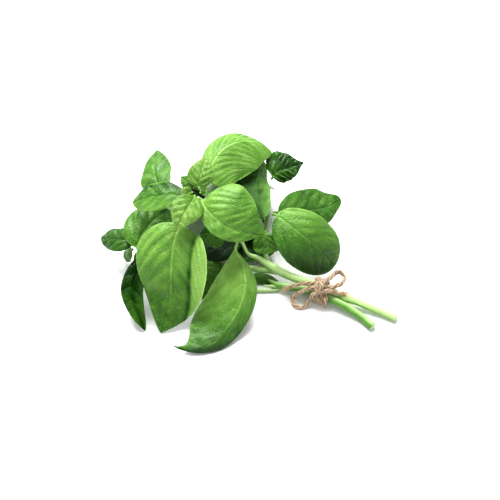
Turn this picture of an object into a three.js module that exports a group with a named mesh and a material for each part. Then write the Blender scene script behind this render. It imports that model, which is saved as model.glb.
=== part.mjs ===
// A bunch of cut basil lying on a surface, tied with jute twine in a loose bow.
//
// Millimetres, +Z up. The surface is Z = 0. The cut stems point along +X and the leafy shoots
// spread along -X. Every leaf, with its stalk, is one solid, and so is every stem. The twine is
// the outer shape of its wraps, its knot, two loops and two tails.

import * as THREE from "three";

// Driving dimensions
const STEM_RADIUS = 2.65; // of the two cut stems where they are tied
const SHOOT_RADIUS = 1.6; // of a shoot where it leaves its stem
const BLADE_THICKNESS = 0.8; // at the middle of a blade
const STALK_RADIUS = 0.9; // of a leaf's stalk
const TWINE_DIAMETER = 2.8;
const WRAP_TURNS = 4.2;
const GAP = 0.35; // clear space between two pieces that touch
const PLACE = [44, 12, 0]; // from under the tie, where the layout starts, to the middle of the box

// The two stems run side by side under the tie, lifted by the twine that passes beneath them.
const TIE = { x: 3.6, mainY: -2.5, secondY: -8.1, z: 2 * GAP + TWINE_DIAMETER + STEM_RADIUS };
const WRAP_SLANT = 0.5; // how far the wraps lean along the stems for each millimetre across
const KNOT = { centre: [2.5, -8.3, 15.6], half: [4.6, 3.8, 3] };

// Grid of a leaf: rings along its stalk and its blade, and steps across each face
const STALK_RINGS = 2;
const BLADE_RINGS = 9;
const FACE_STEPS = 6;
const BLADE_EASE = 0.6; // how far a blade's rings turn from square to its midrib
const BEND_STEPS = 12; // steps of the sum that bends a blade across its width
const FIRST_RING = 0.15; // of a blade, in rings from its base
const LAST_RING = 0.995; // of a blade, just short of its tip
const STALK_FADES = 0.25; // part of the blade where the stalk's thickness ends
const TIP_DRAWS_IN = [0.68, 0.92]; // part of the blade over which `narrow` works
const LIP_WIDTH = 0.1; // half of the stretch that turns a rim up, as a part of the half width
const TOWARDS_FRONT = [0.3, -0.5, 0.8]; // where the upper side of most leaves looks
const STEM_SIDES = 8;
const TWINE_SIDES = 8;
const TWINE_STEP = 4.5; // between two rings of a length of twine

const LEAF_GREENS = {
  young: 0x9cc45a, light: 0x6fa83c, mid: 0x4f8f2a, dark: 0x2f6b1c, deep: 0x1c4a12,
};
const STEM_GREEN = 0x8fc45c;
const TWINE_TAN = 0xb08d64;
const vector = (values) => new THREE.Vector3(...values);

/** A closed skin over rings of points that all have the same number of points, in order. */
function skin(rings) {
  const count = rings[0].length;
  const faces = [];
  for (let ring = 0; ring + 1 < rings.length; ring += 1) {
    for (let step = 0; step < count; step += 1) {
      const a = ring * count + step;
      const b = ring * count + ((step + 1) % count);
      faces.push(a, b, b + count, a, b + count, a + count);
    }
  }
  const last = (rings.length - 1) * count;
  for (let step = 1; step + 1 < count; step += 1) {
    faces.push(0, step + 1, step);
    faces.push(last, last + step, last + step + 1);
  }
  const geometry = new THREE.BufferGeometry().setFromPoints(rings.flat());
  geometry.setIndex(faces);
  geometry.computeVertexNormals();
  return geometry;
}

/**
 * Origin, side and upward directions on a path whose upper side looks roughly along `face`.
 * The side leans from square to the path towards square to its chord by `ease`, so the rings of
 * a sharply curved blade don't cross.
 */
function frameAt(curve, at, face, ease = 0) {
  const along = curve.getTangentAt(at);
  const chord = curve.getPoint(1).sub(curve.getPoint(0)).normalize();
  const side = along.clone().lerp(chord, ease).cross(face).normalize();
  return { origin: curve.getPointAt(at), side, up: side.clone().cross(along).normalize() };
}

/** Where a blade's point lies, at `reach` from the midrib, once that half of it is bent. */
function bend(reach, halfWidth, { fold, cup, lip, crease }) {
  const place = new THREE.Vector2();
  for (let step = 0; step < BEND_STEPS; step += 1) {
    const part = ((step + 0.5) / BEND_STEPS) * (reach / halfWidth);
    const turnedUp = lip * THREE.MathUtils.smoothstep(part, crease - LIP_WIDTH, crease + LIP_WIDTH);
    const angle = THREE.MathUtils.degToRad(fold - cup * part + turnedUp);
    place.x += (Math.cos(angle) * reach) / BEND_STEPS;
    place.y += (Math.sin(angle) * reach) / BEND_STEPS;
  }
  return place;
}

/** Outline of a blade, 0 at its base and tip and 1 where it is widest. `narrow` draws its tip in. */
function outline(at, { widest = 0.4, rise = 0.62, narrow = 0 }) {
  const fall = (rise * (1 - widest)) / widest;
  const shape = (place) => place ** rise * (1 - place) ** fall;
  const drawn = 1 - narrow * THREE.MathUtils.smoothstep(at, ...TIP_DRAWS_IN);
  return (shape(at) / shape(widest)) * drawn;
}

/**
 * One leaf: a round stalk that flattens into a thin blade, as one closed skin.
 * `path` runs from the stem to the tip and `stalk` is how much of it is stalk. `width` is the
 * blade's flat width, `widest` is where along it that is, a low `rise` rounds its base, and
 * `narrow` draws its tip out to a point. `face` is the way its upper side looks. `left` and
 * `right` bend its two halves, in degrees: `fold` lifts a half from the midrib, `cup` curls it
 * down, `lip` turns its rim back up from `crease` on, and `size` makes one half narrower than
 * the other.
 */
function leafGeometry({ path, stalk, width, face = TOWARDS_FRONT, left, right, ...form }) {
  const plain = { fold: 0, cup: 20, lip: 0, size: 1, crease: 0.65 };
  const halves = [{ ...plain, ...left }, { ...plain, ...right }];
  const curve = new THREE.CatmullRomCurve3(path.map(vector));
  const length = curve.getLength();
  const facing = vector(face);
  const stations = [];
  for (let ring = 0; ring < STALK_RINGS; ring += 1) {
    stations.push({ distance: (stalk * ring) / STALK_RINGS, blade: 0 });
  }
  for (let ring = 0; ring <= BLADE_RINGS; ring += 1) {
    const turn = (ring + FIRST_RING) / (BLADE_RINGS + FIRST_RING);
    const blade = LAST_RING * (0.5 - 0.5 * Math.cos(Math.PI * turn));
    stations.push({ distance: stalk + (length - stalk) * blade, blade });
  }
  const rings = stations.map(({ distance, blade }) => {
    const frame = frameAt(curve, distance / length, facing, BLADE_EASE);
    const spread = blade > 0 ? (width / 2) * outline(blade, form) : 0;
    const round = 1 - THREE.MathUtils.smoothstep(blade, 0, STALK_FADES);
    const height = THREE.MathUtils.lerp(BLADE_THICKNESS / 2, STALK_RADIUS, round);
    const ring = [];
    for (let step = 0; step < 2 * FACE_STEPS; step += 1) {
      const turn = (Math.PI * step) / FACE_STEPS;
      const across = -Math.cos(turn);
      const half = halves[across < 0 ? 0 : 1];
      const reach = Math.abs(across) * Math.max(spread * half.size, STALK_RADIUS * round);
      const bent = bend(reach, width / 2, half);
      ring.push(frame.origin.clone()
        .addScaledVector(frame.side, Math.sign(across) * bent.x)
        .addScaledVector(frame.up, bent.y + Math.sin(turn) * height));
    }
    return ring;
  });
  return skin(rings);
}

/** A stem: a rod along `path` whose radius at each of the path's points is in `radii`. */
function stemGeometry({ path, radii, steps }) {
  const curve = new THREE.CatmullRomCurve3(path.map(vector));
  const facing = new THREE.Vector3(0.1, 0.2, 1);
  const rings = [];
  for (let ring = 0; ring <= steps; ring += 1) {
    const at = ring / steps;
    const frame = frameAt(curve, at, facing);
    const place = curve.getUtoTmapping(at) * (path.length - 1);
    const before = Math.min(Math.floor(place), path.length - 2);
    const radius = THREE.MathUtils.lerp(radii[before], radii[before + 1], place - before);
    const points = [];
    for (let step = 0; step < STEM_SIDES; step += 1) {
      const angle = (-2 * Math.PI * (step + 0.5)) / STEM_SIDES;
      points.push(frame.origin.clone()
        .addScaledVector(frame.side, radius * Math.cos(angle))
        .addScaledVector(frame.up, radius * Math.sin(angle)));
    }
    rings.push(points);
  }
  return skin(rings);
}

/** A straight-sided oval around two rods side by side, `spare` outside them. */
function ovalAroundStems(Kind, spare) {
  const radius = STEM_RADIUS + spare;
  const oval = new Kind();
  oval.absarc(TIE.secondY, TIE.z, radius, Math.PI / 2, (3 * Math.PI) / 2, false);
  oval.absarc(TIE.mainY, TIE.z, radius, -Math.PI / 2, Math.PI / 2, false);
  oval.closePath();
  return oval;
}

/** The outer shape of the twine's turns: an oval sleeve that leans along the stems. */
function wrapsGeometry() {
  const length = WRAP_TURNS * TWINE_DIAMETER;
  const oval = ovalAroundStems(THREE.Shape, GAP + TWINE_DIAMETER);
  oval.holes.push(ovalAroundStems(THREE.Path, GAP));
  const settings = { depth: length, bevelEnabled: false, curveSegments: 6 };
  const sleeve = new THREE.ExtrudeGeometry(oval, settings);
  sleeve.applyMatrix4(new THREE.Matrix4().set(0, 0, 1, 0, 1, 0, 0, 0, 0, 1, 0, 0, 0, 0, 0, 1));
  const middle = (TIE.mainY + TIE.secondY) / 2;
  const lean = new THREE.Matrix4().set(1, -WRAP_SLANT, 0, 0, 0, 1, 0, 0, 0, 0, 1, 0, 0, 0, 0, 1);
  sleeve.translate(TIE.x - length / 2, -middle, 0);
  sleeve.applyMatrix4(lean);
  sleeve.translate(0, middle, 0);
  return sleeve;
}

/** The outer shape of the knot. */
function knotGeometry() {
  const knot = new THREE.SphereGeometry(1, 12, 8);
  knot.scale(...KNOT.half);
  knot.translate(...KNOT.centre);
  return knot;
}

/** A length of twine along `path`. */
function twineGeometry(path) {
  const curve = new THREE.CatmullRomCurve3(path.map(vector));
  const section = new THREE.Shape();
  section.absarc(0, 0, TWINE_DIAMETER / 2, 0, 2 * Math.PI, false);
  const steps = Math.ceil(curve.getLength() / TWINE_STEP);
  return new THREE.ExtrudeGeometry(section, { steps, extrudePath: curve, curveSegments: TWINE_SIDES });
}

const STEMS = {
  stem_main: {
    path: [[55, 1, 2.9], [43, 0.5, 3.3], [31, -0.5, 4.6], [18, -2.3, TIE.z], [6, TIE.mainY, TIE.z],
      [-7, -3.5, 6.8], [-20, -6, 8.8], [-31, -6.8, 11.2], [-37, -7, 13], [-42.4, -8.3, 16.8],
      [-47.4, -12.4, 23], [-52.6, -11.8, 32], [-62.3, -10.8, 45], [-74.6, -11.5, 54.5], [-84, -13, 60]],
    radii: [2.5, 2.5, 2.6, STEM_RADIUS, STEM_RADIUS, STEM_RADIUS, 2.8, 3, 2.6, 1.7, 1.2, 1.1, 1.1,
      1.1, 1],
    steps: 34,
  },
  stem_second: {
    path: [[44.5, -12.5, 2.9], [35, -9.5, 3.4], [25, -8.2, 5], [15, TIE.secondY, TIE.z],
      [3, TIE.secondY, TIE.z], [-9, -9.6, 5.9], [-17.5, -12, 5.3], [-25.2, -13, 4.2], [-32.5, -12, 3.4]],
    radii: [2.7, 2.6, STEM_RADIUS, STEM_RADIUS, STEM_RADIUS, 2.6, 2.4, 1.9, 0.9],
    steps: 18,
  },
  stem_left_shoot: {
    path: [[-39.5, -11, 9.2], [-45.5, -13.2, 9.4], [-52.5, -16, 9.5], [-62, -19.2, 10],
      [-75, -21.5, 10.3], [-91, -25, 12], [-105, -31, 16], [-113, -37, 20]],
    radii: [2.2, 1.9, 1.7, SHOOT_RADIUS, 1.5, 1.4, 1.2, 1],
    steps: 14,
  },
  stem_right_shoot: {
    path: [[-40, -2, 16], [-43, 3, 21], [-46, 11, 26], [-49, 18, 31], [-51, 22, 34]],
    radii: [SHOOT_RADIUS, SHOOT_RADIUS, 1.5, 1.4, 1],
    steps: 10,
  },
  twig_fork: {
    path: [[-27.4, -15.9, 3.4], [-30, -16.7, 3.2], [-33, -17.6, 3]],
    radii: [0.9, 0.9, 0.7],
    steps: 3,
  },
  twig_ground: {
    path: [[-25.6, -16.4, 1.3], [-31.4, -19.7, 1.4], [-40, -24, 1.4]],
    radii: [0.9, 1.2, 1],
    steps: 6,
  },
};

const LEAVES = {
  leaf_bud_front: {
    path: [[-84, -15.5, 64], [-82.5, -23, 65.5], [-82.5, -33, 63.5], [-83, -41, 58]],
    stalk: 1, width: 20, left: { fold: 8 }, right: { fold: 8 }, shade: "young",
  },
  leaf_bud_back: {
    path: [[-84, -10, 64], [-86, -6, 68], [-87.5, 0, 71], [-90.5, 9, 73]],
    stalk: 1, width: 18, face: [0.3, -0.6, 0.6], shade: "young",
  },
  leaf_bud_side: {
    path: [[-88, -9.5, 63], [-93, -8, 64], [-100, -6, 64]],
    stalk: 1, width: 10, shade: "young",
  },
  leaf_bud_folded: {
    path: [[-87, -13.5, 63], [-90, -15.5, 65], [-94, -16, 65.5]],
    stalk: 0.5, width: 6, shade: "young",
  },
  leaf_bud_centre: {
    path: [[-82, -12, 64], [-80, -11, 68], [-80, -10, 71]],
    stalk: 0.5, width: 5, face: [-0.6, -0.5, 0.6], shade: "young",
  },
  leaf_top_left: {
    path: [[-88, -14, 56], [-94, -16, 59], [-104, -20.5, 59], [-115, -24.5, 54], [-125, -27, 46]],
    stalk: 3, width: 21, widest: 0.5, face: [0.1, -0.2, 0.9], right: { lip: 25, crease: 0.8 },
    shade: "light",
  },
  leaf_top_right: {
    path: [[-80, -14.5, 60.5], [-74, -19.2, 61.5], [-66.3, -22.4, 60.5], [-59.5, -23.6, 58.5],
      [-52.5, -22, 55.5], [-45, -17.4, 51], [-37, -9.8, 46]],
    stalk: 2, width: 48, rise: 0.48, narrow: 0.35, left: { fold: 8, cup: 38, size: 1.22 },
    right: { fold: 5, cup: 25, size: 0.36 }, shade: "light",
  },
  leaf_top_back: {
    path: [[-85.5, -3, 54], [-88.5, 8, 57], [-90, 18, 60.5], [-89, 28, 63], [-84.5, 38, 63],
      [-78, 46, 60.5], [-71, 51, 55.5], [-65, 53, 50]],
    stalk: 9, width: 52, widest: 0.45, rise: 0.55, narrow: 0.2, face: [0.4, -0.3, 0.8],
    left: { fold: -35, cup: 50, size: 0.5 },
    right: { fold: 2, cup: 32, lip: 40, size: 0.92, crease: 0.85 }, shade: "light",
  },
  leaf_front_left: {
    path: [[-84, -17, 50], [-85, -27, 52], [-85, -37, 51], [-83, -47, 44], [-79, -57, 32],
      [-75, -66, 17], [-74, -81, 0.8]],
    stalk: 15.5, width: 47, widest: 0.35, rise: 0.5, face: [0.3, -0.55, 0.7],
    left: { lip: 64, size: 1.22, crease: 0.52 }, shade: "light",
  },
  leaf_back_left: {
    path: [[-77, -8, 47], [-94, -8, 46], [-109, -8, 46], [-120, -4, 46], [-129, 7, 47],
      [-135.5, 20.5, 46]],
    stalk: 34, width: 23.5, shade: "light",
  },
  leaf_front: {
    path: [[-54, -13.5, 33], [-52.7, -18.9, 32], [-47.8, -22.8, 30.5], [-41.6, -28, 28],
      [-36.7, -34.5, 24.5], [-34, -43, 20], [-33.5, -52, 15], [-35, -62, 10.5], [-38.6, -73.6, 7],
      [-46.5, -83.3, 4.4], [-55, -86.8, 3.4], [-64, -87, 3]],
    stalk: 5, width: 60, widest: 0.46, rise: 1.1, narrow: 0.6, face: [-0.16, -0.5, 0.7],
    left: { fold: -50, cup: 10, size: 0.34 }, right: { fold: 5, size: 0.94 }, shade: "light",
  },
  leaf_folded_back: {
    path: [[-46.5, 8.5, 33], [-47.5, 8.5, 36.5], [-54, 15.5, 39.5], [-61.2, 25.5, 40.5],
      [-67, 36.5, 41], [-70.5, 50.5, 41]],
    stalk: 4, width: 38, widest: 0.5, rise: 0.55, face: [-0.5, 0.6, -0.3],
    left: { fold: 10, cup: 0, size: 0.55 }, right: { fold: 22, cup: 10 }, shade: "mid",
  },
  leaf_rugose_right: {
    path: [[-58, 39.5, 38.5], [-57.5, 42.5, 40.5], [-55.2, 46.5, 42], [-49.7, 52, 43.5],
      [-43.9, 60.2, 43]],
    stalk: 2, width: 29, widest: 0.32, rise: 0.45, narrow: 0.4, face: [0.3, -0.4, 0.8],
    right: { size: 0.62 }, shade: "dark",
  },
  leaf_right_upper: {
    path: [[-44, 17, 36], [-39.5, 24.5, 30], [-34.2, 33.3, 26], [-27.7, 41.7, 22], [-20.9, 50.8, 19.5],
      [-16.2, 63.4, 17]],
    stalk: 4, width: 31, widest: 0.55, narrow: 0.3, face: [0.3, -0.4, 0.8], right: { size: 0.75 },
    shade: "mid",
  },
  leaf_right_lower: {
    path: [[-43, 14, 38], [-40, 13.4, 39], [-29.5, 11.5, 37.5], [-18.8, 11, 32.5], [-8.5, 13.4, 22.5],
      [2.5, 16.5, 7.5]],
    stalk: 3, width: 40, widest: 0.52, rise: 0.48, face: [0.4, -0.4, 0.8], left: { size: 0.93 },
    shade: "mid",
  },
  leaf_small_middle: {
    path: [[-43, 4, 31], [-42.5, 2, 31], [-39.5, -0.5, 27], [-35.7, -4, 21]],
    stalk: 1, width: 21, widest: 0.6, face: [0.3, -0.6, 0.6], shade: "mid",
  },
  leaf_left_curled: {
    path: [[-106, -38, 17], [-106, -48, 18], [-105, -60, 16], [-101, -71, 12], [-94, -78, 8],
      [-83.5, -84.5, 1]],
    stalk: 6, width: 34, rise: 0.5, face: [0.1, -0.3, 0.9], left: { fold: 50, cup: 15, size: 0.74 },
    right: { fold: 52, cup: 25, size: 0.54 }, shade: "dark",
  },
  leaf_far_left: {
    path: [[-117, -40, 23], [-123, -42.5, 25], [-131, -43.5, 22.5], [-143.3, -42.4, 15]],
    stalk: 1, width: 17, widest: 0.42, rise: 0.5, face: [0, -0.4, 0.9], shade: "dark",
  },
  leaf_far_left_low: {
    path: [[-119, -41, 16], [-122.5, -42, 11], [-127, -42, 3]],
    stalk: 1, width: 12, face: [0, -0.4, 0.9], shade: "mid",
  },
  leaf_left_inner: {
    path: [[-112, -45, 24], [-113.5, -42, 27], [-113.5, -34, 30], [-112.3, -22, 31], [-111, -8, 28]],
    stalk: 1, width: 30, rise: 0.5, face: [0.3, -0.4, 0.8], shade: "mid",
  },
  leaf_left_low: {
    path: [[-111, -38, 19], [-110, -42, 12], [-109.5, -45, 1]],
    stalk: 1, width: 14, face: [0.3, -0.4, 0.8], shade: "dark",
  },
  leaf_middle_dark: {
    path: [[-59.5, -14.5, 37], [-64, -15.5, 36.5], [-71, -16, 34.5], [-80, -18, 31]],
    stalk: 2, width: 20, face: [0.3, -0.4, 0.8], shade: "dark",
  },
  leaf_between: {
    path: [[-56, -22, 10], [-60, -27, 12], [-64, -35, 8], [-66, -45, 0.8]],
    stalk: 2, width: 24, face: [0.2, -0.4, 0.8], shade: "dark",
  },
  leaf_under_stems: {
    path: [[-47, -19, 4], [-42, -17, 2.4], [-36.5, -14.2, 1.2], [-31.5, -11.5, 0.9], [-25, -8.6, 0.9]],
    stalk: 2, width: 15, face: [0, 0, 1], left: { cup: 0 }, right: { cup: 0, size: 0.3 }, shade: "dark",
  },
  leaf_inner_low: {
    path: [[-51, -8, 23], [-60, -8, 20], [-72, -10, 17], [-88, -13, 15]],
    stalk: 4, width: 30, face: [0, 0, 1], shade: "deep",
  },
  leaf_inner_right: {
    path: [[-43.8, -5, 6.5], [-47.1, -1.5, 8.5], [-51.5, 4.5, 10], [-57.5, 11, 10]],
    stalk: 1, width: 27, face: [0, 0, 1], shade: "dark",
  },
  leaf_inner_top: {
    path: [[-82.5, -6, 54], [-87, -8, 53.5], [-92, -13, 50], [-95, -20, 42]],
    stalk: 1, width: 22, face: [0.1, -0.4, 0.9], shade: "deep",
  },
  leaf_back_low: {
    path: [[-56, -8, 33], [-62, 6, 33], [-72, 24, 26], [-82, 40, 13], [-88, 52, 0.8]],
    stalk: 12, width: 38, face: [-0.3, 0.5, 0.8], shade: "mid",
  },
  leaf_back_middle: {
    path: [[-72, -6, 49], [-85, 7, 45], [-98, 19, 34], [-107, 29, 18], [-114, 37, 0.8]],
    stalk: 14, width: 37, face: [-0.5, 0.5, 0.8], shade: "mid",
  },
  leaf_back_far: {
    path: [[-98, -25, 16], [-104, -10, 20], [-110, 2, 17], [-116, 14, 9], [-120, 22, 0.8]],
    stalk: 10, width: 28, face: [-0.3, 0.5, 0.8], shade: "dark",
  },
  leaf_back_right: {
    path: [[-59, 31, 33], [-65, 38, 31], [-72, 46, 23], [-77, 53, 12], [-79, 58, 0.8]],
    stalk: 6, width: 28, face: [0, 0.6, 0.7], shade: "mid",
  },
};

const TWINE = {
  twine_loop_back: [[4.5, -2.2, 14.8], [5.5, 1.5, 13.8], [6, 7, 11.5], [7.4, 12.6, 9.3], [11.6, 12, 8.3],
    [13.6, 6.4, 9.5], [12.2, 0.8, 12], [9.4, -3.8, 14.6]],
  twine_loop_front: [[-3.2, -12, 13.4], [-6, -13.8, 10.6], [-9.6, -15.4, 7], [-11, -18.3, 3.7],
    [-7.9, -21, 1.7], [-3.8, -20.6, 1.6], [-1.4, -18.4, 2.8], [-0.4, -17, 6], [0, -15.6, 10]],
  twine_tail_left: [[-3.2, -7.8, 13.8], [-8.6, -10, 12.6], [-13.5, -13.2, 10.8], [-16.8, -15.8, 8.6]],
  twine_tail_right: [[9.4, -9.4, 15.4], [12.4, -7.4, 14], [15.4, -5.2, 12], [18.8, -3, 10.8]],
};

function addPiece(group, name, geometry, colour, roughness) {
  const material = new THREE.MeshStandardMaterial({ color: colour, roughness, metalness: 0 });
  const mesh = new THREE.Mesh(geometry, material);
  mesh.name = name;
  group.add(mesh);
}

const bunch = new THREE.Group();
bunch.position.set(...PLACE);
for (const [name, stem] of Object.entries(STEMS)) {
  addPiece(bunch, name, stemGeometry(stem), STEM_GREEN, 0.55);
}
for (const [name, leaf] of Object.entries(LEAVES)) {
  addPiece(bunch, name, leafGeometry(leaf), LEAF_GREENS[leaf.shade], 0.5);
}
addPiece(bunch, "twine_wraps", wrapsGeometry(), TWINE_TAN, 0.9);
addPiece(bunch, "twine_knot", knotGeometry(), TWINE_TAN, 0.9);
for (const [name, path] of Object.entries(TWINE)) {
  addPiece(bunch, name, twineGeometry(path), TWINE_TAN, 0.9);
}

export default bunch;
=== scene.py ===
"""A tied bunch of cut basil, lying on a pale floor.

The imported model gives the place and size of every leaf, stem and turn of twine. Each of them is
made again here as a fine surface: leaves with veins, quilting and curled rims, squarish stems with
a forked node and cut ends, and one length of jute twine that is wrapped, knotted and tied in a bow.

Lengths in the classes are millimetres in the layout of the part, whose origin is under the tie.
They become metres in the row frame when a mesh is made.
"""

import logging
import math
from collections.abc import Callable
from dataclasses import dataclass, field
from enum import Enum

import bpy
import numpy as np
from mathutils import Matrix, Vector

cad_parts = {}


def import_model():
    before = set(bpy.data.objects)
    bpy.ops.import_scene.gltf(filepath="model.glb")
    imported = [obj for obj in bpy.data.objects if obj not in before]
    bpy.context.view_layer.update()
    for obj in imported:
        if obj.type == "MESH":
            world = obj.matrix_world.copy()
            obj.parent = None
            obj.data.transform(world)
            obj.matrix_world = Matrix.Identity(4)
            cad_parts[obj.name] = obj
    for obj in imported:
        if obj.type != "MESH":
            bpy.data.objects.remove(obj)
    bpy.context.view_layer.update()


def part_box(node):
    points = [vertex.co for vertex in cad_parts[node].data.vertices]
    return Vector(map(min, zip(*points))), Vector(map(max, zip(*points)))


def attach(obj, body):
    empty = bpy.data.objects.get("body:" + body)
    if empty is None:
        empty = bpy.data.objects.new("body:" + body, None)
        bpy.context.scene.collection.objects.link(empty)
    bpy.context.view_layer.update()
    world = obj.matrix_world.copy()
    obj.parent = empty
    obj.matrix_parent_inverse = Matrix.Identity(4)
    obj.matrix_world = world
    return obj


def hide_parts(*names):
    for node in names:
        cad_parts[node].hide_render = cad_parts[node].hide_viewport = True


LOG = logging.getLogger("basil")
MM = 0.001
PLACE = np.array([44.0, 12.0, 0.0])  # from under the tie to the middle of the box
TAU = 2 * math.pi
SKEW = np.array([0.31, 0.52, 0.79])  # a direction that no thread follows
CLEAR = 0.05  # least height of a leaf or a stem above the surface, mm

Points = list[tuple[float, float, float]]
Colour = tuple[float, float, float]


# ---------------------------------------------------------------- numbers and curves


def smooth(value: np.ndarray | float, low: float, high: float) -> np.ndarray:
    """A smooth step: 0 below `low`, 1 above `high`, and 3t^2 - 2t^3 between them."""
    part = np.clip((np.asarray(value, dtype=float) - low) / (high - low), 0.0, 1.0)
    return part * part * (3 - 2 * part)


def unit(vectors: np.ndarray) -> np.ndarray:
    """Each vector divided by its own length."""
    return vectors / np.linalg.norm(vectors, axis=-1, keepdims=True)


def metres(points: np.ndarray) -> np.ndarray:
    """Layout millimetres turned into metres in the row frame."""
    return (np.asarray(points, dtype=float) + PLACE) * MM


class SmoothPath:
    """A centripetal Catmull-Rom curve through points, measured along its length."""

    SAMPLES = 80  # of each stretch between two points

    def __init__(self, points: Points) -> None:
        """Samples the curve.

        Each stretch is a cubic Hermite curve whose end slopes come from the neighbouring points,
        weighed by the fourth root of their squared distances. Beyond each end the path goes on
        as the mirror image of its first or last stretch.

        Args:
            points: The points that the curve passes through.
        """
        inner = np.asarray(points, dtype=float)
        knots = np.vstack([2 * inner[0] - inner[1], inner, 2 * inner[-1] - inner[-2]])
        gap = np.sum(np.diff(knots, axis=0) ** 2, axis=1) ** 0.25
        before, here, after = gap[:-2, None], gap[1:-1, None], gap[2:, None]
        p0, p1, p2, p3 = knots[:-3], knots[1:-2], knots[2:-1], knots[3:]
        leave = ((p1 - p0) / before - (p2 - p0) / (before + here) + (p2 - p1) / here) * here
        arrive = ((p2 - p1) / here - (p3 - p1) / (here + after) + (p3 - p2) / after) * here
        t = np.linspace(0, 1, self.SAMPLES, endpoint=False)[None, :, None]
        p1, p2, leave, arrive = (a[:, None, :] for a in (p1, p2, leave, arrive))
        curve = (p1 * (2 * t**3 - 3 * t**2 + 1) + leave * (t**3 - 2 * t**2 + t)
                 + p2 * (3 * t**2 - 2 * t**3) + arrive * (t**3 - t**2))
        self.samples = np.vstack([curve.reshape(-1, 3), inner[-1]])
        steps = np.linalg.norm(np.diff(self.samples, axis=0), axis=1)
        self.distances = np.concatenate([[0.0], np.cumsum(steps)])
        self.length = float(self.distances[-1])
        self.knot_distances = self.distances[:: self.SAMPLES]

    def at(self, distance: np.ndarray) -> np.ndarray:
        """Points at distances along the curve."""
        return np.stack([np.interp(distance, self.distances, self.samples[:, k]) for k in range(3)], -1)

    def along(self, distance: np.ndarray) -> np.ndarray:
        """Unit tangents at distances along the curve, from points a little to either side."""
        small = 0.004 * self.length
        ahead = np.minimum(distance + small, self.length)
        behind = np.maximum(distance - small, 0.0)
        return unit(self.at(ahead) - self.at(behind))

    def chord(self) -> np.ndarray:
        """The unit vector from the start of the curve to its end."""
        return unit(self.samples[-1] - self.samples[0])


# ---------------------------------------------------------------- meshes


def piece_of(name: str, points: np.ndarray, faces: list, material: bpy.types.Material) -> bpy.types.Object:
    """A new object in the scene, from points in metres and the faces on them, made of one material."""
    mesh = bpy.data.meshes.new(name)
    mesh.from_pydata(points, [], faces)
    mesh.materials.append(material)
    piece = bpy.data.objects.new(name, mesh)
    bpy.context.scene.collection.objects.link(piece)
    return piece


def grid_piece(
    name: str,
    rings: np.ndarray,
    material: bpy.types.Material,
    maps: dict[str, np.ndarray],
    values: dict[str, np.ndarray],
) -> bpy.types.Object:
    """A closed skin over rings of points, with flat caps on its first and last ring.

    Args:
        name: The piece's name.
        rings: Layout points, as rings by points by three. Each ring turns clockwise as seen
            along the way that the rings go.
        material: What the piece is made of.
        maps: UV maps, each with two numbers for every point.
        values: Attributes, each with one number for every point.

    Returns:
        The new object, in the scene.
    """
    count, around = rings.shape[:2]
    ring, step = np.meshgrid(np.arange(count - 1), np.arange(around), indexing="ij")
    a = ring * around + step
    b = ring * around + (step + 1) % around
    quads = np.stack([a, b, b + around, a + around], -1).reshape(-1, 4)
    last = (count - 1) * around
    caps = [list(range(around - 1, -1, -1)), list(range(last, last + around))]
    piece = piece_of(name, metres(rings).reshape(-1, 3), quads.tolist() + caps, material)
    mesh = piece.data
    mesh.polygons.foreach_set("use_smooth", np.ones(len(mesh.polygons), dtype=bool))
    corners = np.empty(len(mesh.loops), dtype=np.int32)
    mesh.loops.foreach_get("vertex_index", corners)
    for title, pairs in maps.items():
        layer = mesh.uv_layers.new(name=title)
        layer.uv.foreach_set("vector", pairs.reshape(-1, 2)[corners].ravel())
    for title, numbers in values.items():
        layer = mesh.attributes.new(title, "FLOAT", "POINT")
        layer.data.foreach_set("value", np.broadcast_to(numbers, (count, around)).ravel())
    mesh.update()
    return piece


def threads_piece(
    name: str, threads: np.ndarray, radius: np.ndarray, material: bpy.types.Material
) -> bpy.types.Object:
    """Many thin three-sided threads as one mesh.

    Every point of a thread carries three corners a third of a turn apart, in the plane square to
    its own stretch, and the corners of neighbouring points are joined.

    Args:
        name: The piece's name.
        threads: Layout points, as threads by points by three.
        radius: The radius at each point of a thread.
        material: What the threads are made of.

    Returns:
        The new object, in the scene.
    """
    total, count = threads.shape[:2]
    along = unit(np.gradient(threads, axis=1))
    side = unit(np.cross(along, SKEW))
    up = np.cross(side, along)
    turn = (TAU / 3 * np.arange(3))[None, None, :, None]
    reach = np.broadcast_to(radius, (total, count))[:, :, None, None]
    points = threads[:, :, None] + reach * (np.cos(turn) * side[:, :, None] - np.sin(turn) * up[:, :, None])
    index = np.arange(total * count * 3).reshape(total, count, 3)
    here, there = index[:, :-1], index[:, 1:]
    quads = np.stack([here, there, np.roll(there, -1, 2), np.roll(here, -1, 2)], -1).reshape(-1, 4)
    caps = np.concatenate([index[:, 0], index[:, -1, ::-1]])
    return piece_of(name, metres(points).reshape(-1, 3), quads.tolist() + caps.tolist(), material)


# ---------------------------------------------------------------- shader expressions


def operator(operation: str, reflected: bool = False) -> Callable[..., "Term"]:
    """A method that adds a Math node of that operation, with its values swapped if it is reflected."""

    def method(self: "Term", other: "Term | float") -> "Term":
        """The Math node's result."""
        return self.maths(operation, *((other, self) if reflected else (self, other)))

    return method


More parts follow.
